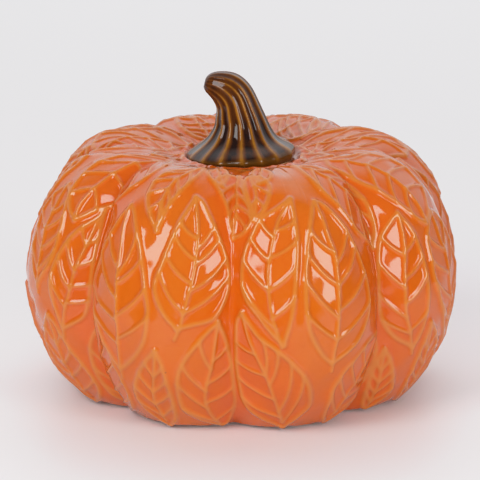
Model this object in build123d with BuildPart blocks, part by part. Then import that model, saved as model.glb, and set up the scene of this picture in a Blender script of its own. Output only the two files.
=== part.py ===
from build123d import *
from math import cos, hypot, pi, radians, sin
import os

# A hollow slip-cast ceramic pumpkin with a separately cast stem, in millimetres, +Z up.
# The origin is on the table under the middle of the body, and one groove between two
# lobes faces -Y. Angles round the pumpkin are measured from -Y towards +X.

# Body: eight equal lobes
LOBES = 8
LOBE_ANGLE = 360 / LOBES
WALL = 5.0
GROOVE_DEPTH = 0.128          # the groove's depth, as a part of the crest's radius
GROOVE_DROP = 1.7             # how far the groove lies below the crest on the shoulder
GROOVE_FADE = 28.0            # radial distance over which the grooves start at the stem seat
GROOVE_DROP_HEIGHT = 34.0     # below this height the drop dies away towards the foot
LOBE_ROUNDNESS = 2.48         # exponent of the lobe's section: 2 is a parabola, more is flatter

# Stem seat, foot and the holes in the shell
SEAT_RADIUS = 27.3
SEAT_HEIGHT = 119.0
PAD_THICKNESS = 1.0
FOOT_HEIGHT = PAD_THICKNESS
FOOT_RADIUS = 83.4
FOOT_RING_INNER = 61.0
RECESS_RADIUS = 57.0
RECESS_HEIGHT = FOOT_HEIGHT + 3.0
FLOOR_HEIGHT = RECESS_HEIGHT + WALL
FLOOR_RADIUS = FOOT_RADIUS - 1.4
AXIS_GAP = 1.5                # inner end of the wall section, cut away again by both holes
DRAIN_RADIUS = 15.0
VENT_RADIUS = 2.5

# Half outline of a lobe's crest, from the stem seat over the shoulder and down to the foot
CREST_OUTLINE = [
    (SEAT_RADIUS, SEAT_HEIGHT),
    (51.1, 124.9),
    (75.3, 125.4),
    (95.8, 111.1),
    (107.6, 88.1),
    (112.7, 64.6),
    (108.6, 39.9),
    (97.7, 16.4),
    (FOOT_RADIUS, FOOT_HEIGHT),
]

# Places across a lobe where the wall section is drawn: 0 is the crest, 1 and -1 the grooves
ACROSS = [-1.0, -0.82, -0.45, 0.0, 0.45, 0.82, 1.0]

# Stem: its foot, its ribs and the seam of slip that it is luted on with
SEAM_THICKNESS = 1.0
SEAM_RADIUS = 26.0
SEAM_EDGE = 0.4
STEM_FOOT_HEIGHT = SEAT_HEIGHT + SEAM_THICKNESS
STEM_RIBS = 16
STEM_LEAN_AZIMUTH = -87.0     # the way the stem's tip leans
STEM_CORE_RADIUS = 10.5
STEM_CORE_TOP_RADIUS = 5.5
STEM_CORE_DEPTH = 22.0

# Sections along the stem: lean from the axis, height, tilt in degrees towards the lean,
# radius over the ribs and depth of the flutes between them
STEM_STATIONS = [
    (0.0, STEM_FOOT_HEIGHT, 0.0, 26.3, 0.6),
    (1.0, 122.0, 3.5, 28.0, 0.9),
    (1.2, 128.2, 3.5, 20.4, 1.5),
    (1.2, 134.4, 7.0, 15.3, 1.6),
    (1.6, 138.9, 13.0, 13.3, 1.5),
    (3.0, 144.7, 23.4, 11.9, 1.4),
    (4.7, 150.4, 36.0, 10.8, 1.3),
    (8.6, 155.3, 52.0, 9.5, 1.1),
    (13.7, 157.8, 63.0, 7.2, 0.8),
    (17.6, 158.7, 70.0, 4.8, 0.5),
    (19.4, 158.4, 76.0, 2.2, 0.2),
]

# Four self-adhesive felt pads under the foot ring, each below the crest of a lobe
PAD_RADIUS = 8.0
PAD_EDGE = 0.25
PAD_CIRCLE = 72.0
PAD_AZIMUTHS = {
    "felt_pad_front": LOBE_ANGLE / 2,
    "felt_pad_right": LOBE_ANGLE / 2 + 90,
    "felt_pad_back": LOBE_ANGLE / 2 + 180,
    "felt_pad_left": LOBE_ANGLE / 2 + 270,
}


def outward(azimuth):
    """Unit vector away from the axis at an angle round the pumpkin."""
    return Vector(sin(radians(azimuth)), -cos(radians(azimuth)), 0)


def meridian(azimuth):
    """Upright plane through the axis: local X is the radius and local Y the height."""
    radial = outward(azimuth)
    return Plane(origin=(0, 0, 0), x_dir=radial, z_dir=radial.cross(Vector(0, 0, 1)))


def lobe_outline(across):
    """Outer half outline at a place across a lobe, with the groove deepest at 1 and -1."""
    dip = abs(across) ** LOBE_ROUNDNESS
    outline = []
    for radius, height in CREST_OUTLINE:
        start = min((radius - SEAT_RADIUS) / GROOVE_FADE, 1)
        low = min((height - FOOT_HEIGHT) / GROOVE_DROP_HEIGHT, 1)
        outline.append((
            radius * (1 - GROOVE_DEPTH * start * dip),
            height - GROOVE_DROP * start * low * dip,
        ))
    return outline


def inner_outline(outer):
    """The same outline on the inside of the wall, from the seat down to the floor."""
    inner = [(SEAT_RADIUS, SEAT_HEIGHT - WALL)]
    for before, here, after in zip(outer, outer[1:], outer[2:]):
        along = (after[0] - before[0], after[1] - before[1])
        step = WALL / hypot(*along)
        inner.append((here[0] + along[1] * step, here[1] - along[0] * step))
    foot_narrowing = outer[-1][0] / FOOT_RADIUS
    inner.append((FLOOR_RADIUS * foot_narrowing, FLOOR_HEIGHT))
    return inner


# One lobe of the shell, lofted round its angle through upright sections of the wall
with BuildPart() as lobe:
    for across in ACROSS:
        outer = lobe_outline(across)
        inner = inner_outline(outer)
        with BuildSketch(meridian(LOBE_ANGLE / 2 * (1 + across))):
            with BuildLine():
                Spline(*outer)
                Polyline(
                    outer[-1],
                    (FOOT_RING_INNER, FOOT_HEIGHT),
                    (RECESS_RADIUS, RECESS_HEIGHT),
                    (AXIS_GAP, RECESS_HEIGHT),
                    (AXIS_GAP, FLOOR_HEIGHT),
                    inner[-1],
                )
                Spline(*reversed(inner))
                Polyline(
                    inner[0],
                    (AXIS_GAP, SEAT_HEIGHT - WALL),
                    (AXIS_GAP, SEAT_HEIGHT),
                    outer[0],
                )
            make_face()
    loft()

# Body shell: the eight lobes in one casting, with the mould's pour and drain hole in the
# middle of the recessed base and a small hole that vents the stem's core into the shell
with BuildPart() as body_shell:
    with PolarLocations(0, LOBES):
        add(lobe.part)
    with Locations((0, 0, SEAT_HEIGHT)):
        Hole(VENT_RADIUS, depth=WALL)
    with Locations((0, 0, FLOOR_HEIGHT)):
        Hole(DRAIN_RADIUS, depth=WALL)

# Slip seam: the flat ring of fired slip that joins the stem to its seat
with BuildPart() as slip_seam:
    with BuildSketch(Plane.XY.offset(SEAT_HEIGHT)):
        Circle(SEAM_RADIUS)
        Circle(STEM_CORE_RADIUS, mode=Mode.SUBTRACT)
    extrude(amount=SEAM_THICKNESS)
    rims = slip_seam.edges().filter_by(GeomType.CIRCLE).group_by(SortBy.RADIUS)[-1]
    chamfer(rims, SEAM_EDGE)


def stem_plane(lean, height, tilt):
    """Plane of a stem section, tipped towards the side that the stem leans to."""
    side = outward(STEM_LEAN_AZIMUTH)
    normal = side * sin(radians(tilt)) + Vector(0, 0, cos(radians(tilt)))
    across = side * cos(radians(tilt)) - Vector(0, 0, sin(radians(tilt)))
    return Plane(origin=side * lean + Vector(0, 0, height), x_dir=across, z_dir=normal)


def fluted_circle(radius, flute_depth):
    """Points on a section of the stem: a rib and the flute beside it, all the way round."""
    points = []
    for half_rib in range(2 * STEM_RIBS):
        angle = pi * half_rib / STEM_RIBS
        reach = radius - flute_depth * (half_rib % 2)
        points.append((reach * cos(angle), reach * sin(angle)))
    return points


# Stem: a fluted casting that flares to its foot and bends over at the tip, cored from below
with BuildPart() as stem:
    for lean, height, tilt, radius, flute_depth in STEM_STATIONS:
        with BuildSketch(stem_plane(lean, height, tilt)):
            with BuildLine():
                Spline(*fluted_circle(radius, flute_depth), periodic=True)
            make_face()
    loft()
    with Locations((0, 0, STEM_FOOT_HEIGHT)):
        Cone(
            STEM_CORE_RADIUS,
            STEM_CORE_TOP_RADIUS,
            STEM_CORE_DEPTH,
            align=(Align.CENTER, Align.CENTER, Align.MIN),
            mode=Mode.SUBTRACT,
        )

os.makedirs("parts", exist_ok=True)

body_shell.part.label = "body_shell"
export_step(body_shell.part, "parts/body_shell.step")

slip_seam.part.label = "slip_seam"
export_step(slip_seam.part, "parts/slip_seam.step")

stem.part.label = "stem"
export_step(stem.part, "parts/stem.step")

# Felt pads: thin round discs with an eased lower edge
for pad_name, azimuth in PAD_AZIMUTHS.items():
    with BuildPart() as felt_pad:
        with BuildSketch(Plane(origin=outward(azimuth) * PAD_CIRCLE, z_dir=(0, 0, 1))):
            Circle(PAD_RADIUS)
        extrude(amount=PAD_THICKNESS)
        chamfer(felt_pad.edges().sort_by(Axis.Z)[0], PAD_EDGE)
    felt_pad.part.label = pad_name
    export_step(felt_pad.part, f"parts/{pad_name}.step")
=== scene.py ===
import math

import bmesh
import bpy
import numpy as np
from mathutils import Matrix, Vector


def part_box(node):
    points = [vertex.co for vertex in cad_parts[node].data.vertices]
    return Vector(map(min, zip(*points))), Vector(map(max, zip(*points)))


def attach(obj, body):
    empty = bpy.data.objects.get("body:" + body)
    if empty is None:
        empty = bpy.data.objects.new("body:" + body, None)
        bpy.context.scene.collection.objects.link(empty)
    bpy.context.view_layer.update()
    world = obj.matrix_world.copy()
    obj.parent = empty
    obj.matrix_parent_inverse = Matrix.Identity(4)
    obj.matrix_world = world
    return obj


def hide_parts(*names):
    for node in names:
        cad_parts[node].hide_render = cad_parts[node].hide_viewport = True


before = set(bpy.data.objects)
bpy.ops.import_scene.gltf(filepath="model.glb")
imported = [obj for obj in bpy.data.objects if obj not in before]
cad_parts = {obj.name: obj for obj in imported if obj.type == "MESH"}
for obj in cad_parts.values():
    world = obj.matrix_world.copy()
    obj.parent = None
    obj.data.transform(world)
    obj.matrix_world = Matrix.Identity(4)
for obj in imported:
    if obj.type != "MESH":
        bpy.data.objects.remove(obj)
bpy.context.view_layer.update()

MM = 0.001

# ---- The body's smooth form, in millimetres -----------------------------------------------
# Angles go round the pumpkin in degrees, from -Y towards +X. A place on the skin is an angle
# and a share, in percent, of the way from the stem seat down to the foot.
LOBE_ANGLE = 45.0
LOBE_ROUNDNESS = 2.48
GROOVE_DEPTH = 0.128
GROOVE_DROP = 1.7
GROOVE_FADE = 28.0
GROOVE_DROP_HEIGHT = 34.0
GROOVE_SOFTNESS = 0.035       # rounding of the groove's bottom, as a share of half a lobe
CREST_OUTLINE = [
    (27.3, 119.0), (51.1, 124.9), (75.3, 125.4), (95.8, 111.1), (107.6, 88.1),
    (112.7, 64.6), (108.6, 39.9), (97.7, 16.4), (83.4, 1.0),
]
SEAT_RADIUS = CREST_OUTLINE[0][0]
FOOT_HEIGHT = CREST_OUTLINE[-1][1]


def spline_through(points):
    """Smooth curve through points as a function of the distance along them, and its length."""
    points = np.array(points, float)
    knots = np.r_[0, np.cumsum(np.linalg.norm(np.diff(points, axis=0), axis=1))]
    step = np.diff(knots)
    slope = np.diff(points, axis=0) / step[:, None]
    count = len(points)
    system = np.zeros((count, count))
    rest = np.zeros_like(points)
    for i in range(1, count - 1):
        system[i, i - 1:i + 2] = step[i - 1], 2 * (step[i - 1] + step[i]), step[i]
        rest[i] = 6 * (slope[i] - slope[i - 1])
    system[0, :3] = -step[1], step[0] + step[1], -step[0]
    system[-1, -3:] = -step[-1], step[-1] + step[-2], -step[-2]
    bend = np.linalg.solve(system, rest)

    def at(distance):
        distance = np.asarray(distance, float)
        i = np.clip(np.searchsorted(knots, distance, side="right") - 1, 0, count - 2)
        h = step[i][..., None]
        left = (knots[i + 1] - distance)[..., None]
        right = (distance - knots[i])[..., None]
        return (
            (bend[i] * left ** 3 + bend[i + 1] * right ** 3) / (6 * h)
            + (points[i] / h - bend[i] * h / 6) * left
            + (points[i + 1] / h - bend[i + 1] * h / 6) * right
        )

    return at, knots[-1]


crest_at, CREST_LENGTH = spline_through(CREST_OUTLINE)


def lobed(angle, radius, height):
    """A point of the crest's outline, carried round to an angle of the lobed body."""
    across = np.abs(2 * ((angle / LOBE_ANGLE) % 1.0) - 1)
    inward = np.sqrt((1 - across) ** 2 + GROOVE_SOFTNESS ** 2) - GROOVE_SOFTNESS * (1 - across)
    dip = np.clip(1 - inward, 0, 1) ** LOBE_ROUNDNESS
    start = np.clip((radius - SEAT_RADIUS) / GROOVE_FADE, 0, 1)
    low = np.clip((height - FOOT_HEIGHT) / GROOVE_DROP_HEIGHT, 0, 1)
    r = radius * (1 - GROOVE_DEPTH * start * dip)
    z = height - GROOVE_DROP * start * low * dip
    turn = np.radians(angle)
    return np.stack([r * np.sin(turn), -r * np.cos(turn), z], -1)


def on_skin(angle, share):
    """Points of the smooth outer skin at angles and shares of the way down."""
    outline = crest_at(np.asarray(share, float) / 100 * CREST_LENGTH)
    return lobed(np.asarray(angle, float), outline[..., 0], outline[..., 1])


# ---- The leaf relief -------------------------------------------------------------------------
# Each leaf: its tip, its left edge, its right edge and its base, its midrib, and its side veins
# as pairs of shares along the leaf, where a vein leaves the midrib and where it meets the edge.
# A leaf without turns is repeated half a turn round the pumpkin.
EVEN_VEINS = [(0.30, 0.14), (0.48, 0.30), (0.66, 0.46), (0.84, 0.63)]
HALF_TURN_LEAVES = [
    # middle row
    dict(tip=(-12.0, 32.5), base=(-13.5, 65.7),
         left=[(-13.9, 37), (-15.5, 41.5), (-17.9, 50), (-19.3, 56), (-16.6, 62)],
         right=[(-9.4, 34.3), (-5.2, 41.2), (-1.6, 49.5), (-1.0, 54),
                (-1.9, 58.5), (-4.8, 62.9), (-10, 64.6)],
         rib=[(-10, 40), (-9.6, 46), (-10.1, 53), (-12.6, 64.5), (-14.2, 68.6)],
         left_veins=[(0.33, 0.20), (0.48, 0.32), (0.66, 0.45), (0.89, 0.59)],
         right_veins=[(0.39, 0.22), (0.51, 0.33), (0.72, 0.48), (0.89, 0.60)]),
    dict(tip=(17.8, 33.0), base=(13.4, 69.4),
         left=[(12, 36.1), (8.6, 38.5), (6.3, 42), (4.2, 46),
               (3.1, 52), (3.8, 57.2), (7.4, 62.3), (11.2, 67.1)],
         right=[(17.9, 38), (17.8, 43), (17.1, 48.7), (15.4, 61.2)],
         rib=[(13.8, 38), (12, 42.4), (10.8, 46.5), (9.9, 52), (10.4, 61.2), (13, 70)],
         left_veins=[(0.28, 0.17), (0.45, 0.30), (0.64, 0.47), (0.90, 0.64)],
         right_veins=[(0.24, 0.16), (0.43, 0.29), (0.63, 0.46), (0.82, 0.65)]),
    dict(tip=(25.4, 34.0), base=(26.2, 75.5),
         left=[(23.6, 36.4), (20.8, 44), (18.9, 55.2), (19.2, 64), (20.8, 68.8), (23.6, 73.2)],
         right=[(28, 35.6), (33.6, 44), (37, 53.6), (37.8, 58.4),
                (37.2, 64), (35, 68.8), (31, 72.4), (27.6, 74.8)],
         rib=[(26.4, 42), (27.8, 50), (27.3, 60), (26.6, 72), (26.5, 78)],
         left_veins=[(0.33, 0.18), (0.52, 0.30), (0.69, 0.47), (0.84, 0.66)],
         right_veins=[(0.40, 0.20), (0.52, 0.33), (0.66, 0.47), (0.83, 0.66)]),
    dict(tip=(-32.0, 36.7), base=(-31.0, 79.0),
         left=[(-34.2, 40), (-39, 48.8), (-42, 56), (-41.5, 60), (-39, 66.2), (-35.6, 72)],
         right=[(-29.4, 38.8), (-24.4, 47.9), (-21.2, 59), (-20.8, 63.3),
                (-21.8, 69.1), (-25, 74.1), (-29, 77.8)],
         rib=[(-32.2, 42), (-30.8, 51), (-29.7, 63), (-29.7, 70), (-31.2, 82)],
         left_veins=[(0.36, 0.19), (0.54, 0.30), (0.67, 0.50), (0.82, 0.65)],
         right_veins=[(0.40, 0.18), (0.48, 0.29), (0.64, 0.47), (0.80, 0.63)]),
    dict(tip=(54.5, 41.5), base=(56.0, 77.0),
         left=[(52, 43), (48.3, 46.6), (46.6, 51), (45.4, 58),
               (45.4, 64), (46.8, 69), (50, 73), (53.5, 75.4)],
         right=[(56.5, 45), (57.8, 50), (58.4, 58), (58.2, 66), (57.2, 74)],
         rib=[(54.2, 46), (53, 52), (51.6, 60), (51.9, 67), (54, 72.5), (56.5, 79)],
         left_veins=[(0.29, 0.13), (0.52, 0.30), (0.74, 0.53), (0.86, 0.73)],
         right_veins=[(0.28, 0.18), (0.45, 0.32), (0.62, 0.47), (0.85, 0.73)]),
    dict(tip=(-46.8, 40.5), base=(-53.8, 72.5),
         left=[(-48, 43), (-51.5, 46.5), (-54.5, 51), (-56.7, 58), (-56.2, 64), (-54.8, 69)],
         right=[(-46.2, 46), (-45.9, 56), (-46, 63), (-47.5, 68), (-51, 70.8)],
         rib=[(-47.4, 44), (-49, 52), (-50.2, 57.5), (-51, 63), (-52.5, 68), (-54.2, 75)],
         left_veins=[(0.30, 0.16), (0.50, 0.30), (0.66, 0.45), (0.80, 0.62)],
         right_veins=[(0.28, 0.20), (0.46, 0.36), (0.62, 0.55), (0.76, 0.70)]),
    dict(tip=(-63.5, 36.0), base=(-62.0, 63.0),
         left=[(-67, 38.5), (-69.8, 42), (-71, 47), (-69.8, 52), (-66.5, 58), (-63.8, 61)],
         right=[(-60.5, 38), (-58.4, 42.5), (-57.4, 47), (-57.2, 51.5), (-58, 56), (-60.3, 60)],
         rib=[(-63.8, 40), (-63.5, 46), (-63, 52), (-62.2, 58), (-61.8, 65)]),
    dict(tip=(67.5, 43.5), base=(72.0, 78.0),
         left=[(65, 45.5), (62, 49.5), (61.2, 55), (61.3, 60.5), (63.5, 66), (67.5, 72)],
         right=[(70.5, 44.5), (74, 49), (76.2, 56), (76.5, 63), (75.5, 70), (73.8, 75)],
         rib=[(68, 48), (68.6, 54), (68.7, 61), (69.7, 68), (72.5, 80)]),
    dict(tip=(-87.0, 35.0), base=(-85.5, 74.0),
         left=[(-90, 38), (-94.5, 46), (-97, 56), (-95, 65), (-89.5, 71.5)],
         right=[(-84, 38), (-80, 46), (-77.5, 56), (-78.5, 65), (-82.5, 71.5)],
         rib=[(-87, 44), (-86.3, 58), (-86, 68), (-85, 77)]),
    # bottom row
    dict(tip=(-3.8, 64.0), base=(-4.4, 98.3),
         left=[(-7.5, 68), (-12, 74), (-14.2, 79), (-14.9, 87), (-14, 91), (-11, 94.3), (-8, 96.5)],
         right=[(-1.8, 69), (-0.5, 75), (0.3, 82), (0.7, 87), (0.2, 91), (-1.4, 95), (-2.9, 97.5)],
         rib=[(-4.6, 70), (-5.6, 76), (-7.3, 82), (-8, 87), (-7.2, 92), (-5.2, 97)],
         left_veins=[(0.38, 0.13), (0.58, 0.33), (0.76, 0.50), (0.92, 0.76)],
         right_veins=[(0.31, 0.19), (0.50, 0.36), (0.70, 0.55), (0.90, 0.77)]),
    dict(tip=(3.0, 61.7), base=(16.3, 98.3),
         left=[(1.5, 65), (1.5, 76), (2.5, 83), (4, 88), (8, 92.8), (12, 95.8)],
         right=[(7, 67), (12, 71), (16, 75), (20, 80), (22, 86), (22.2, 89.5), (20, 93), (17.6, 96)],
         rib=[(4.5, 67), (7, 73), (9.7, 79), (12.5, 87), (15.5, 95.5)],
         left_veins=[(0.28, 0.17), (0.44, 0.31), (0.67, 0.42), (0.85, 0.59)],
         right_veins=[(0.44, 0.21), (0.52, 0.30), (0.78, 0.41), (0.91, 0.54)]),
    dict(tip=(-19.3, 72.0), base=(-21.2, 98.3),
         left=[(-22, 75), (-25.5, 80), (-27.8, 86), (-27.6, 91), (-24.5, 96)],
         right=[(-17.9, 76), (-17.3, 82), (-17.1, 88), (-17.5, 93), (-19.2, 96.5)],
         rib=[(-20.1, 77), (-21.6, 83), (-22.4, 89), (-21.6, 96)]),
    dict(tip=(-39.0, 66.0), base=(-42.0, 98.3),
         left=[(-42, 69.5), (-45.5, 72.5), (-47.5, 77), (-48.3, 83), (-48, 90), (-46.5, 94.5)],
         right=[(-37, 69), (-35.3, 73.5), (-33.6, 78), (-32, 84), (-31.8, 89.5), (-34, 94), (-38, 96.8)],
         rib=[(-40.2, 70), (-42.4, 76), (-44, 83), (-44.2, 90), (-42.8, 96.5)],
         left_veins=[(0.30, 0.18), (0.50, 0.36), (0.70, 0.55), (0.88, 0.74)],
         right_veins=[(0.42, 0.20), (0.58, 0.36), (0.74, 0.52), (0.90, 0.68)]),
    dict(tip=(-58.5, 70.0), base=(-57.6, 98.3),
         left=[(-60, 71.7), (-62, 75), (-64.5, 80), (-66, 86), (-65, 92), (-61.5, 96)],
         right=[(-57, 71.2), (-55.3, 74.5), (-53.5, 78.5), (-51.5, 82.5),
                (-50.2, 87.5), (-50.8, 92), (-53.8, 96)],
         rib=[(-58.2, 74), (-57.9, 80), (-58, 87), (-57.8, 96)]),
    dict(tip=(43.0, 70.5), base=(31.0, 98.3),
         left=[(38.5, 72), (34, 75.5), (30.5, 79), (28.5, 84), (28.2, 88.5), (28.6, 93), (29.6, 96.5)],
         right=[(45.4, 74), (46, 79), (45.3, 85), (42.5, 90), (38, 94.5), (33.5, 97.5)],
         rib=[(42, 73), (39.5, 78), (36.5, 84), (33.7, 90), (31.6, 96)]),
    dict(tip=(48.0, 76.0), base=(51.8, 98.3),
         left=[(46.9, 80), (46.9, 86), (48, 92), (49.8, 96.5)],
         right=[(50, 79), (52.3, 84), (54.6, 89), (55.4, 93.5), (53.8, 97)],
         rib=[(48.4, 80), (49.2, 85), (50.3, 91), (51.5, 96.5)]),
    dict(tip=(60.5, 71.0), base=(66.3, 98.3),
         left=[(59.8, 76), (59.6, 82), (60.3, 88), (61.8, 93.5), (64, 96.8)],
         right=[(63, 73.5), (67, 78), (70.5, 84), (72, 89.5), (70.8, 94.5), (68.6, 97)],
         rib=[(61.5, 76), (63, 82), (64.5, 89), (66, 96)]),
    dict(tip=(80.5, 70.0), base=(81.0, 98.3),
         left=[(77.5, 74), (75.4, 80), (75, 87), (76.6, 93), (79, 96.7)],
         right=[(83.5, 74), (86, 80), (87.2, 87), (85.8, 93), (83, 96.7)],
         rib=[(80.6, 76), (81.2, 84), (81.2, 95.5)]),
    dict(tip=(-75.5, 66.0), base=(-76.5, 98.3),
         left=[(-79, 71), (-82.2, 78), (-84, 86), (-83, 92.5), (-79.5, 96.7)],
         right=[(-72.5, 71), (-70, 78), (-68.6, 86), (-69.8, 92.5), (-73, 96.7)],
         rib=[(-75.8, 74), (-76, 84), (-76.4, 95.5)]),
    # top row, leaves that hang from the moat over the shoulder
    dict(tip=(-21.0, 42.0), base=(-13.5, 20.5),
         left=[(-24, 38.5), (-26.6, 34.7), (-28, 31), (-28, 27), (-23, 22)],
         right=[(-20.2, 38.5), (-19.2, 34.7), (-17.3, 31), (-15, 27), (-13.6, 23)],
         rib=[(-21.5, 38), (-22, 33), (-20.5, 27), (-14.5, 20)]),
    dict(tip=(0.3, 43.5), base=(1.5, 24.5),
         left=[(-1, 40), (-2.6, 34.5), (-5.3, 30), (-7.2, 26.5), (-4, 24)],
         right=[(3.2, 42.2), (5.6, 39.6), (6.1, 37), (4.5, 31.5), (3.4, 27.5)],
         rib=[(0.9, 39), (1.2, 34), (0.8, 29), (1.5, 24)]),
    dict(tip=(6.8, 38.4), base=(5.5, 24.5),
         left=[(5.2, 34), (4.2, 30.5), (4.0, 27)],
         right=[(9.5, 36), (11.6, 32), (12.3, 28), (10, 25)],
         rib=[(7.4, 35), (7.6, 30), (6, 25)],
         left_veins=[(0.4, 0.2)],
         right_veins=[(0.4, 0.2), (0.7, 0.45)]),
    dict(tip=(-53.7, 44.0), base=(-45.0, 13.5),
         left=[(-57, 41.5), (-60, 37.5), (-61.2, 33), (-61.5, 27), (-59.5, 20), (-53, 14.5)],
         right=[(-51.5, 42.6), (-48.5, 40.3), (-42, 37.2), (-36.5, 32.2),
                (-33.2, 27.5), (-33, 21), (-38, 15.5)],
         rib=[(-54, 39), (-52.5, 33), (-50, 26.5), (-47, 20), (-45, 13), (-43, 5)]),
    dict(tip=(45.5, 49.0), base=(27.0, 17.5),
         left=[(43, 47.5), (40, 45.5), (37, 43), (34, 38), (32, 35), (29.5, 31), (27.5, 25)],
         right=[(47.2, 44.7), (47.6, 40), (47, 35.5), (44.8, 31), (40.8, 26.5), (34, 20.5)],
         rib=[(45, 44), (42.6, 37.5), (38.4, 30.5), (33.2, 24.5), (26.5, 17), (22, 10)]),
    dict(tip=(63.0, 45.5), base=(50.0, 17.5),
         left=[(60.5, 44), (57.6, 40.3), (55, 37.2), (52.6, 34.4), (49.6, 31.6), (47.3, 28), (46.5, 22)],
         right=[(66, 43.5), (71, 39), (73.5, 33), (72, 27), (67, 20.5), (58, 17)],
         rib=[(63.5, 40), (62, 34), (59, 28), (55, 22.5), (50, 17), (45, 6)]),
    dict(tip=(-74.5, 47.0), base=(-73.0, 28.0),
         left=[(-77.5, 42), (-78.5, 37), (-77, 31)],
         right=[(-72.5, 42), (-71.3, 37), (-71, 32)],
         rib=[(-74.7, 40), (-74.4, 34), (-73, 28)]),
    dict(tip=(84.5, 46.0), base=(83.0, 30.0),
         left=[(82, 42), (80.5, 38), (80.5, 33.5)],
         right=[(87, 43), (88.6, 38.5), (87.5, 33)],
         rib=[(84.6, 40), (84.2, 35), (83, 30)]),
    dict(tip=(-4.6, 28.5), base=(-8.6, 19.0), left_veins=[], right_veins=[],
         left=[(-8.6, 26), (-11.2, 22)], right=[(-3.4, 24.5), (-5, 20.5)], rib=[(-6, 25), (-8, 20)]),
    dict(tip=(9.0, 27.5), base=(11.6, 19.0), left_veins=[], right_veins=[],
         left=[(7.2, 24), (8.2, 20.5)], right=[(13, 25.5), (14.4, 22)], rib=[(10, 24), (11.4, 20)]),
    # leaves that lie round the stem seat, on the sides and the back
    dict(tip=(-88.0, 30.0), base=(-119.0, 2.7), turns=(0,),
         left=[(-97, 28.6), (-110, 25.5), (-121, 22), (-126, 17.7), (-127, 12), (-124, 6)],
         right=[(-80, 27), (-75.5, 22), (-75, 16.5), (-80.5, 11.2), (-93.5, 6.6), (-109, 3.7)],
         rib=[(-89.5, 28), (-96, 21), (-103, 15), (-110, 8.7), (-118, 3)],
         left_veins=[(0.22, 0.08), (0.40, 0.22), (0.58, 0.38), (0.76, 0.58)],
         right_veins=[(0.22, 0.08), (0.40, 0.22), (0.58, 0.38), (0.76, 0.58)]),
    dict(tip=(97.0, 32.0), base=(118.0, 2.5), turns=(0,),
         left=[(88, 28), (82, 21.5), (79, 14.5), (81, 8.5), (95, 4.7)],
         right=[(108, 30), (117.5, 25), (122.5, 19.5), (126, 14.7), (127.5, 9.2), (124, 5)],
         rib=[(98, 28.5), (101.5, 21), (105.5, 14.2), (110.5, 7.7), (117, 3)],
         left_veins=[(0.22, 0.08), (0.40, 0.22), (0.58, 0.38), (0.76, 0.58)],
         right_veins=[(0.22, 0.08), (0.40, 0.22), (0.58, 0.38), (0.76, 0.58)]),
    dict(tip=(150.0, 21.5), base=(161.0, 2.5), turns=(0,),
         left=[(139.5, 18.5), (136, 13), (139, 7), (150, 4)],
         right=[(159, 19.5), (166, 13.5), (167.5, 7.5)],
         rib=[(151.5, 18), (154, 12.5), (157.5, 7), (161, 3)]),
    dict(tip=(-153.0, 23.0), base=(-150.0, 3.0), turns=(0,),
         left=[(-162, 18.5), (-166, 12.5), (-161, 6)],
         right=[(-145, 20.8), (-139.5, 16), (-138.5, 11), (-142, 6)],
         rib=[(-152, 19), (-150.5, 14), (-150, 8), (-150, 3)]),
    dict(tip=(178.0, 20.0), base=(180.0, 3.0), turns=(0,),
         left=[(172.5, 16.5), (170, 12), (172, 7)],
         right=[(184.5, 16.5), (188, 12), (187, 7)],
         rib=[(179, 17), (179.5, 13), (180, 8), (180, 3)]),
    dict(tip=(-57.5, 13.5), base=(-78.0, 2.0), turns=(0,), left_veins=[], right_veins=[],
         left=[(-66, 11.5), (-76, 7.5)], right=[(-56, 9.5), (-64, 4)], rib=[(-60, 11), (-70, 5.5)]),
    dict(tip=(60.0, 14.0), base=(84.0, 2.0), turns=(0,), left_veins=[], right_veins=[],
         left=[(57, 9.5), (66, 4)], right=[(68, 11.5), (80, 6.5)], rib=[(62, 11), (73, 5.5)]),
]
SIDE_SCALE = math.radians(105.0)      # millimetres per degree on the widest part of the skin
DOWN_SCALE = CREST_LENGTH / 100       # millimetres per percent of the way down
CURVE_STEPS = 7
VEIN_ALONG_EDGE = 0.16                # how far a vein runs along the leaf's edge where it meets it
VEIN_STRAIGHTNESS = 0.36


def smooth_line(points):
    """Catmull-Rom curve through points, with even steps between them."""
    points = np.array(points, float)
    ends = np.vstack([2 * points[0] - points[1], points, 2 * points[-1] - points[-2]])
    t = (np.arange(CURVE_STEPS) / CURVE_STEPS)[:, None]
    line = []
    for a, b, c, d in zip(ends, ends[1:], ends[2:], ends[3:]):
        line.append(0.5 * (2 * b + (c - a) * t + (2 * a - 5 * b + 4 * c - d) * t ** 2
                           + (3 * b - a - 3 * c + d) * t ** 3))
    line.append(points[-1:])
    return np.vstack(line)


def leaf_lines(leaf):
    """The ridge lines of a leaf, in angle and percent: [edges], [midrib], [veins]."""
    flat = np.array([SIDE_SCALE, DOWN_SCALE])
    tip, base = np.array(leaf["tip"]) * flat, np.array(leaf["base"]) * flat
    axis = (base - tip) / np.sum((base - tip) ** 2)
    edges = {}
    for side in ("left", "right"):
        edges[side] = smooth_line([leaf["tip"], *leaf[side], leaf["base"]]) * flat
    rib = smooth_line([leaf["tip"], *leaf["rib"]]) * flat
    veins = []
    for side, edge in edges.items():
        for rib_share, edge_share in leaf.get(side + "_veins", EVEN_VEINS):
            start = rib[np.argmin(np.abs((rib - tip) @ axis - rib_share))]
            i = int(np.argmin(np.abs((edge - tip) @ axis - edge_share)))
            i = min(max(i, 1), len(edge) - 2)
            along = (edge[i + 1] - edge[i - 1]) / np.linalg.norm(edge[i + 1] - edge[i - 1])
            inward = start - edge[i]
            bend = edge[i] + along * np.linalg.norm(inward) * VEIN_ALONG_EDGE + inward * VEIN_STRAIGHTNESS
            t = np.linspace(0, 1, 9)[:, None]
            veins.append((start * (1 - t) ** 2 + 2 * bend * t * (1 - t) + edge[i] * t ** 2) / flat)
    return [edge / flat for edge in edges.values()], [rib / flat], veins


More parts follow.
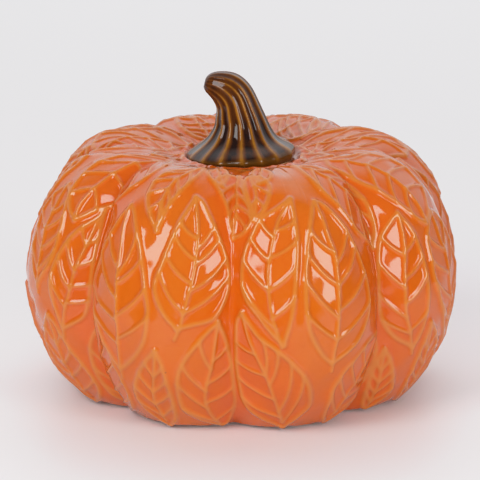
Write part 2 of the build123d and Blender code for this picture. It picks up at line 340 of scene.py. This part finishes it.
# ---- Height of the relief --------------------------------------------------------------------
SKIN_COLUMNS = 1200
SKIN_ROWS = 330
EDGE_WIDTH = 1.15             # half width of the ridge round a leaf, in millimetres
VEIN_WIDTH = 0.88
RIDGE_HEIGHT = 1.15
FILLET_HEIGHT = 1.0           # the soft swell at a ridge's foot, which leaves the panels dished
FILLET_WIDTH = 3.0
WINDOW = 5.0                  # how far from its leaf a ridge line still changes the skin


def distance_to(line, points):
    """Shortest distance from each point to a line of straight segments."""
    nearest = np.full(len(points), 1e9, np.float32)
    for a, b in zip(line, line[1:]):
        run = b - a
        share = np.clip((points - a) @ run / max(float(run @ run), 1e-9), 0, 1)
        gap = points - (a + share[:, None] * run)
        nearest = np.minimum(nearest, np.einsum("ij,ij->i", gap, gap))
    return np.sqrt(nearest)


def relief_of(angles, shares, skin):
    """Sum of the narrow ridges and sum of the wide fillets of all the leaves, over the skin."""
    ridge = np.zeros(skin.shape[:2], np.float32)
    fillet = np.zeros(skin.shape[:2], np.float32)
    for leaf in HALF_TURN_LEAVES:
        edges, ribs, veins = leaf_lines(leaf)
        outline = np.vstack(edges)
        for turn in leaf.get("turns", (0, 180)):
            low, high = outline.min(0), outline.max(0)
            rows = np.nonzero((shares > low[1] - WINDOW) & (shares < high[1] + WINDOW))[0]
            off = (angles - (low[0] + high[0]) / 2 - turn + 180) % 360 - 180
            columns = np.nonzero(np.abs(off) < (high[0] - low[0]) / 2 + WINDOW)[0]
            patch = np.ix_(columns, rows)
            points = skin[patch].reshape(-1, 3).astype(np.float32)
            tall = np.zeros(len(points), np.float32)
            wide = np.zeros(len(points), np.float32)
            for lines, width, height in ((edges, EDGE_WIDTH, 1.0), (ribs, VEIN_WIDTH, 0.95),
                                         (veins, VEIN_WIDTH, 0.85)):
                for line in lines:
                    path = on_skin(line[:, 0] + turn, line[:, 1]).astype(np.float32)
                    gap = distance_to(path, points)
                    tall += height * np.exp(-(gap / width) ** 2)
                    wide += height * np.exp(-np.sqrt(gap ** 2 + 0.2) / FILLET_WIDTH)
            ridge[patch] += tall.reshape(len(columns), len(rows))
            fillet[patch] += wide.reshape(len(columns), len(rows))
    return ridge, fillet


# ---- Mesh helpers ----------------------------------------------------------------------------
def grid_mesh(name, rings, closed):
    """A mesh from rings of points [column, row, xyz] in millimetres, wrapped round its columns.

    Closed joins the last row to the first. Otherwise both ends are closed with a small fan.
    """
    columns, rows = rings.shape[:2]
    vertices = rings.reshape(-1, 3)
    column = np.arange(columns)[:, None]
    row = np.arange(rows if closed else rows - 1)[None, :]
    after = (column + 1) % columns
    below = (row + 1) % rows
    quads = np.stack([column * rows + row, column * rows + below,
                      after * rows + below, after * rows + row], -1).reshape(-1, 4)
    fans = np.zeros((0, 3), int)
    if not closed:
        first, last = rings[:, 0].mean(0), rings[:, -1].mean(0)
        top = len(vertices)
        vertices = np.vstack([vertices, first, last])
        here, there = column[:, 0] * rows, after[:, 0] * rows
        fans = np.vstack([np.stack([np.full(columns, top), here, there], -1),
                          np.stack([np.full(columns, top + 1), there + rows - 1, here + rows - 1], -1)])
    mesh = bpy.data.meshes.new(name)
    mesh.vertices.add(len(vertices))
    mesh.vertices.foreach_set("co", (vertices * MM).astype(np.float32).ravel())
    loops = np.r_[quads.ravel(), fans.ravel()]
    mesh.loops.add(len(loops))
    mesh.loops.foreach_set("vertex_index", loops.astype(np.int32))
    starts = np.r_[np.arange(len(quads)) * 4, len(quads) * 4 + np.arange(len(fans)) * 3]
    mesh.polygons.add(len(starts))
    mesh.polygons.foreach_set("loop_start", starts.astype(np.int32))
    mesh.update(calc_edges=True)
    mesh.validate()
    mesh.polygons.foreach_set("use_smooth", np.ones(len(mesh.polygons), bool))
    made = bpy.data.objects.new(name, mesh)
    bpy.context.scene.collection.objects.link(made)
    return made


def unwrap_grid(made, columns, across):
    """UVs for a closed grid: columns run along U, and across gives V at each row and the last's end."""
    mesh = made.data
    rows = len(across) - 1
    index = np.zeros(len(mesh.loops), np.int32)
    mesh.loops.foreach_get("vertex_index", index)
    column, row = index // rows, index % rows
    corner = np.arange(len(index)) % 4
    u = np.where((corner >= 2) & (column == 0), columns, column) / columns
    wrapped = ((corner == 1) | (corner == 2)) & (row == 0)
    v = np.where(wrapped, across[-1], np.array(across)[row])
    layer = mesh.uv_layers.new(name="OFBake")
    layer.data.foreach_set("uv", np.stack([u, v], -1).astype(np.float32).ravel())


def give_values(made, name, values):
    """Stores a number per vertex, which a material reads by name."""
    attribute = made.data.attributes.new(name, "FLOAT", "POINT")
    attribute.data.foreach_set("value", np.asarray(values, np.float32).ravel())


def stands_for(made, node, material):
    """Finishes a piece: gives it its material, hangs it under the root, and hides the CAD node that it
    stands for.
    """
    made.data.materials.append(material)
    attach(made, "root")
    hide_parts(node)
    return made


# ---- Node helpers ----------------------------------------------------------------------------
class Nodes:
    """Short names for building a material's node tree."""

    def __init__(self, name):
        self.material = bpy.data.materials.new(name)
        self.material.use_nodes = True
        self.tree = self.material.node_tree
        self.shader = self.tree.nodes["Principled BSDF"]

    def add(self, kind, **inputs):
        node = self.tree.nodes.new(kind)
        for key, value in inputs.items():
            self.put(node, key.replace("_", " "), value)
        return node

    def put(self, node, key, value):
        if isinstance(value, bpy.types.NodeSocket):
            self.tree.links.new(value, node.inputs[key])
        else:
            node.inputs[key].default_value = value

    def math(self, operation, a, b=0.5, clamp=False):
        node = self.tree.nodes.new("ShaderNodeMath")
        node.operation = operation
        node.use_clamp = clamp
        self.put(node, 0, a)
        self.put(node, 1, b)
        return node.outputs[0]

    def place(self):
        return self.add("ShaderNodeTexCoord").outputs["Object"]

    def noise(self, scale, detail=2.0, roughness=0.5, where=None):
        node = self.add("ShaderNodeTexNoise", Scale=scale, Detail=detail, Roughness=roughness)
        self.put(node, "Vector", where if where is not None else self.place())
        return node.outputs["Fac"]

    def value(self, name):
        node = self.tree.nodes.new("ShaderNodeAttribute")
        node.attribute_name = name
        return node.outputs["Fac"]

    def remap(self, source, low, high, to_low=0.0, to_high=1.0):
        node = self.tree.nodes.new("ShaderNodeMapRange")
        node.clamp = True
        for key, item in zip((0, 1, 2, 3, 4), (source, low, high, to_low, to_high)):
            self.put(node, key, item)
        return node.outputs[0]

    def mix(self, share, a, b, blend="MIX"):
        node = self.tree.nodes.new("ShaderNodeMix")
        node.data_type = "RGBA"
        node.blend_type = blend
        self.put(node, 0, share)
        for key, item in ((6, a), (7, b)):
            self.put(node, key, (*item, 1.0) if isinstance(item, tuple) else item)
        return node.outputs[2]

    def bump(self, height, distance, strength=1.0, under=None):
        node = self.add("ShaderNodeBump", Height=height, Distance=distance, Strength=strength)
        if under is not None:
            self.put(node, "Normal", under)
        return node.outputs["Normal"]

    def finish(self, **inputs):
        for key, value in inputs.items():
            self.put(self.shader, key.replace("_", " "),
                     (*value, 1.0) if isinstance(value, tuple) else value)
        return self.material


# ---- Materials -------------------------------------------------------------------------------
EVEN_ORANGE = (0.435, 0.092, 0.0036)
POOLED_ORANGE = (0.465, 0.068, 0.0020)
THIN_TAN = (0.430, 0.138, 0.022)
BARE_CLAY = (0.72, 0.60, 0.46)
CLAY_SHADE = (0.60, 0.47, 0.34)
SPECK_BROWN = (0.16, 0.045, 0.01)
FINE_ORANGE = (0.80, 0.20, 0.03)


def orange_glaze():
    n = Nodes("orange_glaze")
    ridge = n.value("ridge")
    cloud = n.noise(28.0, 3.0)
    fine = n.noise(420.0, 2.0)
    drift = n.remap(cloud, 0.35, 0.70, 0.0, 0.5)
    pool = n.math("ADD", n.math("MULTIPLY", n.value("pool"), 0.8), drift, clamp=True)
    pooled = n.mix(pool, EVEN_ORANGE, POOLED_ORANGE)
    thin = n.math("MULTIPLY", n.remap(ridge, 0.22, 0.90), n.remap(cloud, 0.2, 0.8, 1.0, 0.75))
    glaze = n.mix(thin, pooled, THIN_TAN)
    speck = n.add("ShaderNodeTexVoronoi", Scale=95.0, Vector=n.place())
    chance = n.add("ShaderNodeSeparateColor", Color=speck.outputs["Color"]).outputs[0]
    sparse = n.math("GREATER_THAN", chance, 0.972)
    dot = n.math("MULTIPLY", n.remap(speck.outputs["Distance"], 0.035, 0.06, 1.0, 0.0), sparse)
    glaze = n.mix(n.math("MULTIPLY", dot, 0.75), glaze, SPECK_BROWN)
    glaze = n.mix(n.math("MULTIPLY", fine, 0.10), glaze, FINE_ORANGE)
    bare = n.value("bare")
    clay = n.mix(n.noise(160.0, 4.0), BARE_CLAY, CLAY_SHADE)
    surface = n.bump(n.noise(70.0, 2.0), 0.00035, 0.25)
    surface = n.bump(n.noise(2600.0, 3.0), 0.00006, bare, surface)
    rough = n.remap(n.noise(45.0, 2.0), 0.3, 0.7, 0.05, 0.10)
    rough = n.math("ADD", rough, n.math("MULTIPLY", bare, 0.75), clamp=True)
    return n.finish(Base_Color=n.mix(bare, glaze, clay), Roughness=rough, Normal=surface)


def brown_glaze():
    n = Nodes("brown_glaze")
    rib = n.value("ridge")
    streak = n.add("ShaderNodeMapping", Vector=n.place(), Scale=(1.0, 1.0, 0.18))
    run = n.noise(330.0, 3.0, where=streak.outputs[0])
    thin = n.math("ADD", rib, n.math("MULTIPLY", n.math("SUBTRACT", run, 0.5), 0.5), clamp=True)
    dark = n.mix(n.remap(thin, 0.0, 0.38), (0.011, 0.004, 0.003), (0.080, 0.022, 0.003))
    warm = n.mix(n.remap(thin, 0.45, 0.90), dark, (0.150, 0.056, 0.007))
    warm = n.mix(n.remap(thin, 0.80, 1.1), warm, (0.27, 0.110, 0.010))
    foot = n.mix(n.value("foot"), warm, (0.125, 0.052, 0.006))
    bare = n.value("bare")
    clay = n.mix(n.noise(160.0, 4.0), BARE_CLAY, CLAY_SHADE)
    rough = n.remap(n.noise(60.0, 2.0), 0.3, 0.7, 0.045, 0.09)
    rough = n.math("ADD", rough, n.math("MULTIPLY", bare, 0.75), clamp=True)
    surface = n.bump(n.noise(110.0, 2.0), 0.0003, 0.3)
    return n.finish(Base_Color=n.mix(bare, foot, clay), Roughness=rough, Normal=surface,
                    Specular_IOR_Level=0.32)


def fired_slip():
    n = Nodes("fired_slip")
    colour = n.mix(n.noise(220.0, 4.0), (0.66, 0.44, 0.27), (0.56, 0.27, 0.10))
    surface = n.bump(n.noise(900.0, 4.0), 0.0002, 0.5)
    rough = n.remap(n.noise(500.0), 0.2, 0.8, 0.7, 0.95)
    return n.finish(Base_Color=colour, Roughness=rough, Normal=surface)


def pad_felt():
    n = Nodes("pad_felt")
    fibre = n.noise(2400.0, 5.0, 0.7)
    colour = n.mix(fibre, (0.045, 0.026, 0.018), (0.19, 0.125, 0.09))
    surface = n.bump(fibre, 0.0004, 0.8)
    return n.finish(Base_Color=colour, Roughness=n.remap(fibre, 0.2, 0.8, 0.85, 1.0), Normal=surface,
                    Sheen_Weight=0.4, Sheen_Roughness=0.5)


# ---- Body ------------------------------------------------------------------------------------
WALL = 5.0
# Rows of the surfaces under and inside the shell, as (radius, height)
FOOT_RING = [(82.4, 1.0), (79.0, 1.0), (74.0, 1.0)]
RECESS = [
    (61.6, 1.0), (60.4, 1.5), (57.6, 3.7), (56.4, 4.0), (45.0, 4.0), (30.0, 4.0), (15.8, 4.0),
    (15.0, 4.8), (15.0, 8.2), (15.8, 9.0), (35.0, 9.0), (58.0, 9.0),
]
VENT = [(27.3, 114.0), (10.0, 114.0), (2.5, 114.0), (2.5, 119.0), (8.0, 119.0), (18.0, 119.0)]
INNER_SHARES = np.linspace(94, 6, 26)
SKIN_END = 99.5               # share at which the glazed skin stops, just above the foot
OUTER_V = 0.27                # the outer skin takes the UV square above this height
SEAT_FADE = 2.5               # shares over which the relief starts at the seat
FOOT_FADE = 1.2               # and ends at the foot
BEAD_RADIUS = 30.8            # bead of glaze round the stem's foot
BEAD_WIDTH = 2.4
BEAD_HEIGHT = 1.5
GROOVE_CALM = 0.6             # how much the relief dies away in the grooves between the lobes
WOBBLE = 0.11                 # unevenness of the cast skin
WOBBLE_WAVES = (5, 9, 12, 16, 19, 23, 27, 31, 36)
WOBBLE_DRIFT = 22             # the most that a wave turns on its way down
POOL_START = 30.0             # share from which glaze pools fully in the grooves
SEAT_POOL = 5.0               # shares over which it pools round the seat
RIDGE_POOL = 0.6              # how much it pools beside the ridges
RIDGE_FULLNESS = 1.7          # crossing ridges level off instead of adding up
FILLET_FULLNESS = 0.8


def wobble(angles, shares):
    """Slow, even unevenness of the skin, as [column, row]."""
    dice = np.random.default_rng(7)
    total = np.zeros((len(angles), len(shares)))
    for waves in WOBBLE_WAVES:
        drift, start = dice.uniform(-WOBBLE_DRIFT, WOBBLE_DRIFT), dice.uniform(0, 2 * math.pi)
        down = shares / 100 * 2 * math.pi * drift / 2.2
        total += np.sin(np.radians(angles)[:, None] * waves + down + start)
    return WOBBLE * total


def make_body():
    angles = np.arange(SKIN_COLUMNS) * 360 / SKIN_COLUMNS
    shares = np.linspace(0, SKIN_END, SKIN_ROWS)
    skin = on_skin(angles[:, None] + 0 * shares, shares + 0 * angles[:, None])
    ridge, fillet = relief_of(angles, shares, skin)
    ridge = 1 - np.exp(-RIDGE_FULLNESS * ridge)
    fillet = 1 - np.exp(-FILLET_FULLNESS * fillet)
    fade = np.clip(shares / SEAT_FADE, 0, 1) * np.clip((SKIN_END - shares) / FOOT_FADE, 0, 1)
    around = np.roll(skin, -1, 0) - np.roll(skin, 1, 0)
    down = np.gradient(skin, axis=1)
    outward = np.cross(down, around)
    outward /= np.linalg.norm(outward, axis=-1, keepdims=True)
    radial = np.linalg.norm(skin[..., :2], axis=-1)
    bead = BEAD_HEIGHT * np.exp(-((radial - BEAD_RADIUS) / BEAD_WIDTH) ** 2)
    across = np.abs(2 * ((angles / LOBE_ANGLE) % 1.0) - 1)[:, None]
    relief = (RIDGE_HEIGHT * ridge + FILLET_HEIGHT * fillet) * (1 - GROOVE_CALM * across ** 6)
    height = (relief + wobble(angles, shares)) * fade + bead
    skin = skin + outward * height[..., None]

    middle = crest_at(INNER_SHARES / 100 * CREST_LENGTH)
    run = np.gradient(middle, axis=0)
    run /= -np.linalg.norm(run, axis=1, keepdims=True)
    inner = middle + WALL * np.stack([run[:, 1], -run[:, 0]], -1)
    hidden = np.vstack([FOOT_RING, RECESS, inner, VENT])
    under = lobed(angles[:, None] + 0 * hidden[:, 0], hidden[:, 0] + 0 * angles[:, None],
                  hidden[:, 1] + 0 * angles[:, None])
    row = np.arange(len(hidden))
    first_wall = len(FOOT_RING) + len(RECESS)
    round_rows = ((row >= len(FOOT_RING)) & (row < first_wall)) | (row >= first_wall + len(inner))
    turn = np.radians(angles)[:, None]
    radius, height = hidden.T
    plain = np.stack([radius * np.sin(turn), -radius * np.cos(turn), height + 0 * turn], -1)
    under[:, round_rows] = plain[:, round_rows]
    rings = np.concatenate([skin, under], axis=1)
    body = grid_mesh("body_shell_glazed", rings, closed=True)
    steps = np.r_[np.linspace(1.0, OUTER_V, SKIN_ROWS), np.linspace(OUTER_V - 0.01, 0.0, len(hidden) + 1)]
    unwrap_grid(body, SKIN_COLUMNS, steps)
    stored = np.zeros(rings.shape[:2], np.float32)
    stored[:, :SKIN_ROWS] = ridge * fade
    give_values(body, "ridge", stored)
    stored = np.zeros(rings.shape[:2], np.float32)
    stored[:, SKIN_ROWS + 1:] = 1.0
    give_values(body, "bare", stored)
    stored = np.zeros(rings.shape[:2], np.float32)
    stored[:, :SKIN_ROWS] = (
        across ** 3 * np.clip(shares / POOL_START, 0, 1) + RIDGE_POOL * fillet * (1 - ridge)
        + np.exp(-(shares / SEAT_POOL) ** 2))
    give_values(body, "pool", stored)
    return stands_for(body, "body_shell", orange_glaze())


# ---- Stem ------------------------------------------------------------------------------------
STEM_FOOT_HEIGHT = 120.0
STEM_RIBS = 16
STEM_LEAN_AZIMUTH = math.radians(-87.0)
STEM_STATIONS = [             # lean, height, tilt in degrees, radius over the ribs, flute depth
    (0.0, STEM_FOOT_HEIGHT, 0.0, 26.3, 0.6),
    (1.0, 122.0, 3.5, 28.0, 0.9),
    (1.2, 128.2, 3.5, 20.4, 1.5),
    (1.2, 134.4, 7.0, 15.3, 1.6),
    (1.6, 138.9, 13.0, 13.3, 1.5),
    (3.0, 144.7, 23.4, 11.9, 1.4),
    (4.7, 150.4, 36.0, 10.8, 1.3),
    (8.6, 155.3, 52.0, 9.5, 1.1),
    (13.7, 157.8, 63.0, 7.2, 0.8),
    (17.6, 158.7, 70.0, 4.8, 0.5),
    (19.4, 158.4, 76.0, 2.2, 0.2),
]
STEM_COLUMNS = STEM_RIBS * 18
STEM_ROWS = 150
STEM_CORE = [
    (5.5, 142.0), (7.0, 135.4), (8.8, 127.5), (10.5, 120.0), (14.0, 120.0), (20.0, 120.0), (25.6, 120.0),
]
TILT_WEIGHT = 1 / 6
FLUTE_SOFTNESS = 0.62         # the glaze fills the flutes
FOOT_BAND = 4.0               # height of the amber band over the stem's foot


def make_stem():
    stations = np.array(STEM_STATIONS)
    stations[:, 2] *= TILT_WEIGHT
    station_at, length = spline_through(stations)
    lean, height, tilt, radius, depth = station_at(np.linspace(0, length, STEM_ROWS)).T
    tilt = np.radians(tilt / TILT_WEIGHT)
    along = np.linspace(0, 1, STEM_ROWS)
    depth = depth * np.interp(along, (0, 0.45, 0.8, 1), (1, 0.75, 0.45, 0.3))
    turn = np.linspace(0, -2 * math.pi, STEM_COLUMNS, endpoint=False)[:, None]
    drift = 0.035 * np.sin(3 * turn + 1) + 0.02 * np.sin(5 * turn + 2)
    rib = 0.5 + 0.5 * np.cos(STEM_RIBS * (turn + drift))
    swell = rib ** 1.7
    reach = radius - FLUTE_SOFTNESS * depth * (1 - swell)
    side = np.array([math.sin(STEM_LEAN_AZIMUTH), -math.cos(STEM_LEAN_AZIMUTH), 0])
    up = np.array([0, 0, 1.0])
    back = np.cross(up, side)
    middle = lean[:, None] * side + height[:, None] * up
    across = np.cos(tilt)[:, None] * side - np.sin(tilt)[:, None] * up
    outer = (middle + (reach * np.cos(turn))[..., None] * across
             + (reach * np.sin(turn))[..., None] * back)
    core = np.array(STEM_CORE)
    start = math.atan2(side[0], -side[1])
    heading = start + turn
    core_radius, core_height = core.T
    inner = np.stack([core_radius * np.sin(heading), -core_radius * np.cos(heading),
                      core_height + 0 * heading], -1)
    rings = np.concatenate([inner, outer], axis=1)
    stem = grid_mesh("stem_glazed", rings, closed=False)
    pole = np.zeros(2)
    stored = np.zeros(rings.shape[:2])
    stored[:, len(core):] = (rib ** 2.6 * np.interp(along, (0, 0.62, 0.95, 1), (1, 1, 0.25, 0.2))
                             + 0.06 * np.exp(-(height - STEM_FOOT_HEIGHT) / 9)
                             + 0.22 * np.interp(along, (0.35, 0.7), (0, 1)))
    give_values(stem, "ridge", np.r_[stored.ravel(), pole])
    stored = np.zeros(rings.shape[:2])
    stored[:, :len(core)] = 1.0
    give_values(stem, "bare", np.r_[stored.ravel(), 1.0, 0.0])
    stored = np.zeros(rings.shape[:2])
    stored[:, len(core):] = np.clip(1 - (height - STEM_FOOT_HEIGHT) / FOOT_BAND, 0, 1) ** 0.7
    give_values(stem, "foot", np.r_[stored.ravel(), pole])
    return stands_for(stem, "stem", brown_glaze())


# ---- Slip seam and felt pads -----------------------------------------------------------------
def make_seam():
    low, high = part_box("slip_seam")
    columns = 180
    angle = np.linspace(0, -360, columns, endpoint=False)[:, None]
    bottom, top, outside = low.z / MM, high.z / MM, high.x / MM
    middle, inside, half = (bottom + top) / 2, STEM_CORE[3][0], (top - bottom) / 2
    t = np.linspace(0, 2 * math.pi, 40, endpoint=False)
    wave = 0.16 * np.sin(np.radians(angle) * 7) + 0.12 * np.sin(np.radians(angle) * 17 + 1)
    across = np.sign(np.cos(t)) * np.abs(np.cos(t)) ** 0.35
    radius = (inside + outside) / 2 + (outside - inside) / 2 * across + wave * (across > 0) - 0.2
    height = middle + half * np.sign(np.sin(t)) * np.abs(np.sin(t)) ** 0.35 + 0 * angle
    turn = np.radians(angle)
    rings = np.stack([radius * np.sin(turn), -radius * np.cos(turn), height], -1)
    seam = grid_mesh("slip_seam_bead", rings, closed=True)
    return stands_for(seam, "slip_seam", fired_slip())


def make_pad(node, material):
    low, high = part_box(node)
    centre = (low + high) / 2 / MM
    size = (high.x - low.x) / 2 / MM
    thick = (high.z - low.z) / MM
    turn = np.linspace(0, -2 * math.pi, 96, endpoint=False)[:, None]
    profile = np.array([(0.45, 0.0), (0.90, 0.0), (0.975, 0.1), (1.0, 0.35), (1.0, 0.7), (0.985, 0.95),
                        (0.9, 1.0), (0.45, 1.0)])
    fuzz = 1 + 0.006 * np.sin(turn * 23) + 0.004 * np.sin(turn * 41 + centre.x)
    radius = size * profile[:, 0] * np.where(profile[:, 0] > 0.95, fuzz / 1.01, 1)
    rings = np.stack([centre.x + radius * np.cos(turn), centre.y + radius * np.sin(turn),
                      low.z / MM + thick * profile[:, 1] + 0 * turn], -1)
    return stands_for(grid_mesh(node + "_soft", rings, closed=False), node, material)


make_body()
make_stem()
make_seam()
felt = pad_felt()
for pad in ("felt_pad_front", "felt_pad_right", "felt_pad_back", "felt_pad_left"):
    make_pad(pad, felt)

# ---- Floor, light and camera -----------------------------------------------------------------
TARGET = Vector((0, 0, 0.0674))
CAMERA_PLACE = (3.07, 14.947, 1.4233)         # azimuth and elevation in degrees, distance
LENS = 206.75
WHITE_LEVEL = 3.0
SHOULDER = ((0.60, 0.60), (0.80, 0.765), (1.0, 0.85), (1.3, 0.915), (1.8, 0.96))


def around_target(azimuth, elevation, distance):
    a, e = math.radians(azimuth), math.radians(elevation)
    return TARGET + distance * Vector((math.sin(a) * math.cos(e), -math.cos(a) * math.cos(e), math.sin(e)))


def make_floor():
    mesh = bpy.data.meshes.new("studio_floor")
    grid = bmesh.new()
    bmesh.ops.create_grid(grid, x_segments=2, y_segments=2, size=6.0)
    grid.to_mesh(mesh)
    grid.free()
    floor = bpy.data.objects.new("studio_floor", mesh)
    bpy.context.scene.collection.objects.link(floor)
    n = Nodes("pale_table")
    front = n.add("ShaderNodeSeparateXYZ", Vector=n.place()).outputs["Y"]
    mirrored = n.add("ShaderNodeLightPath").outputs["Is Glossy Ray"]
    # Painted dark reflection: mirror rays alone see the floor in front of the pumpkin as near-black, so
    # the glaze reflects darkness there
    painted_dark_reflection = n.remap(front, -0.32, -0.27, 1.0, 0.0)
    # Painted light falloff: the floor's colour is darker at and in front of the pumpkin and lighter
    # towards the back, standing in for how the light falls
    painted_light_falloff = n.mix(n.remap(front, 0.0, 1.15), (0.80, 0.770, 0.790), (0.93, 0.92, 0.945))
    n.finish(Base_Color=n.mix(n.math("MULTIPLY", painted_dark_reflection, mirrored), painted_light_falloff, (0.08, 0.07, 0.07)),
             Roughness=0.45, Specular_IOR_Level=0.3)
    mesh.materials.append(n.material)


def make_world():
    world = bpy.data.worlds.new("studio")
    bpy.context.scene.world = world
    world.use_nodes = True
    tree = world.node_tree
    tree.nodes.clear()

    def node(kind, **inputs):
        made = tree.nodes.new(kind)
        for key, value in inputs.items():
            socket = made.inputs[int(key[1:])] if key[0] == "i" and key[1:].isdigit() else made.inputs[key]
            if isinstance(value, bpy.types.NodeSocket):
                tree.links.new(value, socket)
            else:
                socket.default_value = value
        return made

    way = node("ShaderNodeSeparateXYZ", Vector=node("ShaderNodeTexCoord").outputs["Generated"])
    behind = node("ShaderNodeMapRange", i0=way.outputs["Y"], i1=0.0, i2=0.5, i3=0.0, i4=1.0)
    tall = node("ShaderNodeMapRange", i0=way.outputs["Z"], i1=0.0, i2=0.5, i3=0.68, i4=1.15)
    low = node("ShaderNodeMapRange", i0=way.outputs["Z"], i1=0.0, i2=0.3, i3=0.04, i4=0.14)
    wall = node("ShaderNodeMath", i0=behind.outputs[0], i1=tall.outputs[0])
    wall.operation = "MULTIPLY"
    bright = node("ShaderNodeMath", i0=wall.outputs[0], i1=low.outputs[0])
    room = node("ShaderNodeEmission", Color=(1.0, 0.985, 1.0, 1.0), Strength=bright.outputs[0])
    seen = node("ShaderNodeEmission", Color=(0.84, 0.82, 0.86, 1.0), Strength=1.0)
    path = node("ShaderNodeLightPath")
    both = node("ShaderNodeMixShader", i0=path.outputs["Is Camera Ray"], i1=room.outputs[0],
                i2=seen.outputs[0])
    node("ShaderNodeOutputWorld", Surface=both.outputs[0])


def softbox(name, azimuth, elevation, distance, width, height, power):
    light = bpy.data.lights.new(name, "AREA")
    light.shape = "RECTANGLE"
    light.size, light.size_y = width, height
    light.energy = power
    made = bpy.data.objects.new(name, light)
    bpy.context.scene.collection.objects.link(made)
    made.location = around_target(azimuth, elevation, distance)
    made.rotation_mode = "QUATERNION"
    made.rotation_quaternion = (TARGET - made.location).to_track_quat("-Z", "Y")
    made.visible_camera = False
    return made


make_floor()
make_world()
fill = softbox("fill_front", 0, 38, 2.2, 1.3, 1.3, 5.0)
fill.visible_glossy = False
low_fill = softbox("fill_low", 0, 6, 2.2, 1.6, 0.6, 30.0)
low_fill.visible_glossy = False
wash = softbox("wash_back", 180, 45, 2.2, 1.4, 1.4, 10.0)
wash.visible_glossy = False
wash.rotation_quaternion = Vector((0, -0.3, -1)).to_track_quat("-Z", "Y")
softbox("softbox_left", -37, 32, 1.3, 0.50, 0.80, 9.5)
softbox("softbox_right", 44, 20, 1.3, 0.44, 0.62, 6.5)

camera_data = bpy.data.cameras.new("camera")
camera = bpy.data.objects.new("camera", camera_data)
bpy.context.scene.collection.objects.link(camera)
bpy.context.scene.camera = camera
camera_data.lens = LENS
camera_data.sensor_width = 36.0
camera_data.shift_x = -0.0057
camera_data.shift_y = 0.0324
camera_data.clip_start, camera_data.clip_end = 0.05, 50.0
camera.location = around_target(*CAMERA_PLACE)
camera.rotation_mode = "QUATERNION"
camera.rotation_quaternion = (TARGET - camera.location).to_track_quat("-Z", "Y")

# Soft shoulder for the highlights, as a camera's tone curve has
view = bpy.context.scene.view_settings
view.view_transform = "Standard"
view.use_curve_mapping = True
view.curve_mapping.white_level = (WHITE_LEVEL, WHITE_LEVEL, WHITE_LEVEL)
shoulder = view.curve_mapping.curves[3]
for level, shown in SHOULDER:
    shoulder.points.new(level / WHITE_LEVEL, shown)
for point in shoulder.points:
    point.handle_type = "VECTOR"
view.curve_mapping.update()
